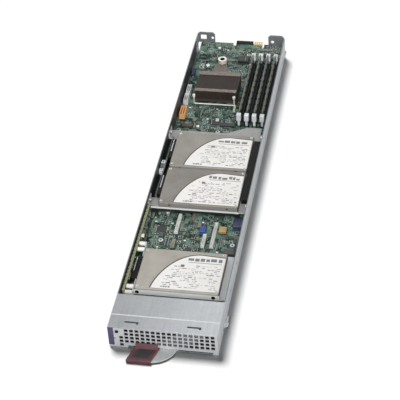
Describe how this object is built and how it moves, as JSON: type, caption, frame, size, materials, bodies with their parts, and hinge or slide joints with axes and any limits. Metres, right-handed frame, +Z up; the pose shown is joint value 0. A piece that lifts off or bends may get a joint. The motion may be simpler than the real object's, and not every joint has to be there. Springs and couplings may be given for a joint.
{
  "type": "blade server",
  "caption": "Open blade server sled: sheet-metal tray with a perforated front, swing-out release lever, main board, finned cooler, latched memory modules and flat drives.",
  "frame": {"origin": "centre of the tray's flat underside", "axes": "+Y from the perforated front panel to the rear connector, along the longest side; +Z up out of the open tray; +X to the right as seen from the front"},
  "size_m": [0.1298, 0.6372, 0.036],
  "materials": {
    "galvanised_steel": "galvanised sheet",
    "board_green": "solder mask",
    "black_plastic": "moulded",
    "blue_plastic": "moulded",
    "white_plastic": "moulded",
    "module_green": "solder mask",
    "drive_case": "cast, blasted",
    "dark_aluminium": "oxidised",
    "orange_plastic": "moulded",
    "burgundy_plastic": "moulded",
    "dark_insert": "moulded",
    "violet_plastic": "moulded",
    "clear_plastic": "clear",
    "processor_lid": "plated",
    "gold_contacts": "plated"
  },
  "bodies": {
    "sled": {"chassis_tray": "galvanised_steel", "rear_guide_left": "galvanised_steel", "rear_guide_right": "galvanised_steel", "front_panel": "galvanised_steel", "panel_flange": "galvanised_steel", "front_hood": "galvanised_steel", "drive_tray": "galvanised_steel", "front_drive_bracket": "galvanised_steel", "lever_pivot": "galvanised_steel", "board_standoffs": "galvanised_steel", "board_screws": "galvanised_steel", "wall_screws": "galvanised_steel", "heatsink_straps": "galvanised_steel", "heatsink_clip": "galvanised_steel", "heatsink_screw": "galvanised_steel", "main_board": "board_green", "riser_board": "board_green", "drive_backplane": "board_green", "control_board": "board_green", "drive_side_guide": "black_plastic", "drive_plugs": "black_plastic", "dimm_socket_1": "black_plastic", "dimm_socket_3": "black_plastic", "rear_connector": "black_plastic", "power_switch": "black_plastic", "board_chips": "black_plastic", "dimm_socket_2": "blue_plastic", "dimm_socket_4": "blue_plastic", "jumper_header": "blue_plastic", "side_connector": "blue_plastic", "data_header_rear": "white_plastic", "data_header_front": "white_plastic", "flex_headers": "white_plastic", "riser_spacers": "white_plastic", "drive_front": "drive_case", "drive_middle": "drive_case", "drive_rear": "drive_case", "heatsink": "dark_aluminium", "heatsink_arm": "dark_aluminium", "boot_header": "orange_plastic", "end_cap": "violet_plastic", "status_light_pipe": "clear_plastic", "processor": "processor_lid", "power_contacts": "gold_contacts"},
    "lever": {"release_lever": "galvanised_steel", "lever_grip": "burgundy_plastic", "grip_insert": "dark_insert"},
    "button": {"power_button": "black_plastic"},
    "module_1": {"memory_module_1": "module_green"},
    "latch_front_1": {"dimm_latch_front_1": "white_plastic"},
    "latch_rear_1": {"dimm_latch_rear_1": "white_plastic"},
    "module_2": {"memory_module_2": "module_green"},
    "latch_front_2": {"dimm_latch_front_2": "white_plastic"},
    "latch_rear_2": {"dimm_latch_rear_2": "white_plastic"},
    "module_3": {"memory_module_3": "module_green"},
    "latch_front_3": {"dimm_latch_front_3": "white_plastic"},
    "latch_rear_3": {"dimm_latch_rear_3": "white_plastic"},
    "module_4": {"memory_module_4": "module_green"},
    "latch_front_4": {"dimm_latch_front_4": "white_plastic"},
    "latch_rear_4": {"dimm_latch_rear_4": "white_plastic"}
  },
  "joints": [
    {"name": "lever_swing", "type": "hinge", "parent": "sled", "child": "lever", "pos_m": [0.046, -0.255, 0.002], "axis": [0, 0, 1], "range_deg": [0, 40]},
    {"name": "button_press", "type": "slide", "parent": "sled", "child": "button", "axis": [0, 1, 0], "range_m": [0, 0.0008], "stiffness_N_per_m": 100},
    {"name": "module_lift_1", "type": "slide", "parent": "sled", "child": "module_1", "axis": [0, 0, 1], "range_m": [0, 0.003]},
    {"name": "latch_front_1", "type": "hinge", "parent": "sled", "child": "latch_front_1", "pos_m": [0.0235, 0.12, 0.01], "axis": [1, 0, 0], "range_deg": [0, 35]},
    {"name": "latch_rear_1", "type": "hinge", "parent": "sled", "child": "latch_rear_1", "pos_m": [0.0235, 0.25935, 0.01], "axis": [-1, 0, 0], "range_deg": [0, 35]},
    {"name": "module_lift_2", "type": "slide", "parent": "sled", "child": "module_2", "axis": [0, 0, 1], "range_m": [0, 0.003]},
    {"name": "latch_front_2", "type": "hinge", "parent": "sled", "child": "latch_front_2", "pos_m": [0.0339, 0.12, 0.01], "axis": [1, 0, 0], "range_deg": [0, 35]},
    {"name": "latch_rear_2", "type": "hinge", "parent": "sled", "child": "latch_rear_2", "pos_m": [0.0339, 0.25935, 0.01], "axis": [-1, 0, 0], "range_deg": [0, 35]},
    {"name": "module_lift_3", "type": "slide", "parent": "sled", "child": "module_3", "axis": [0, 0, 1], "range_m": [0, 0.003]},
    {"name": "latch_front_3", "type": "hinge", "parent": "sled", "child": "latch_front_3", "pos_m": [0.0443, 0.12, 0.01], "axis": [1, 0, 0], "range_deg": [0, 35]},
    {"name": "latch_rear_3", "type": "hinge", "parent": "sled", "child": "latch_rear_3", "pos_m": [0.0443, 0.25935, 0.01], "axis": [-1, 0, 0], "range_deg": [0, 35]},
    {"name": "module_lift_4", "type": "slide", "parent": "sled", "child": "module_4", "axis": [0, 0, 1], "range_m": [0, 0.003]},
    {"name": "latch_front_4", "type": "hinge", "parent": "sled", "child": "latch_front_4", "pos_m": [0.0547, 0.12, 0.01], "axis": [1, 0, 0], "range_deg": [0, 35]},
    {"name": "latch_rear_4", "type": "hinge", "parent": "sled", "child": "latch_rear_4", "pos_m": [0.0547, 0.25935, 0.01], "axis": [-1, 0, 0], "range_deg": [0, 35]}
  ],
  "couplings": [
    {"joint": "latch_front_1", "follows": "module_lift_1", "rad_per_m": 203},
    {"joint": "latch_rear_1", "follows": "module_lift_1", "rad_per_m": 203},
    {"joint": "latch_front_2", "follows": "module_lift_2", "rad_per_m": 203},
    {"joint": "latch_rear_2", "follows": "module_lift_2", "rad_per_m": 203},
    {"joint": "latch_front_3", "follows": "module_lift_3", "rad_per_m": 203},
    {"joint": "latch_rear_3", "follows": "module_lift_3", "rad_per_m": 203},
    {"joint": "latch_front_4", "follows": "module_lift_4", "rad_per_m": 203},
    {"joint": "latch_rear_4", "follows": "module_lift_4", "rad_per_m": 203}
  ]
}
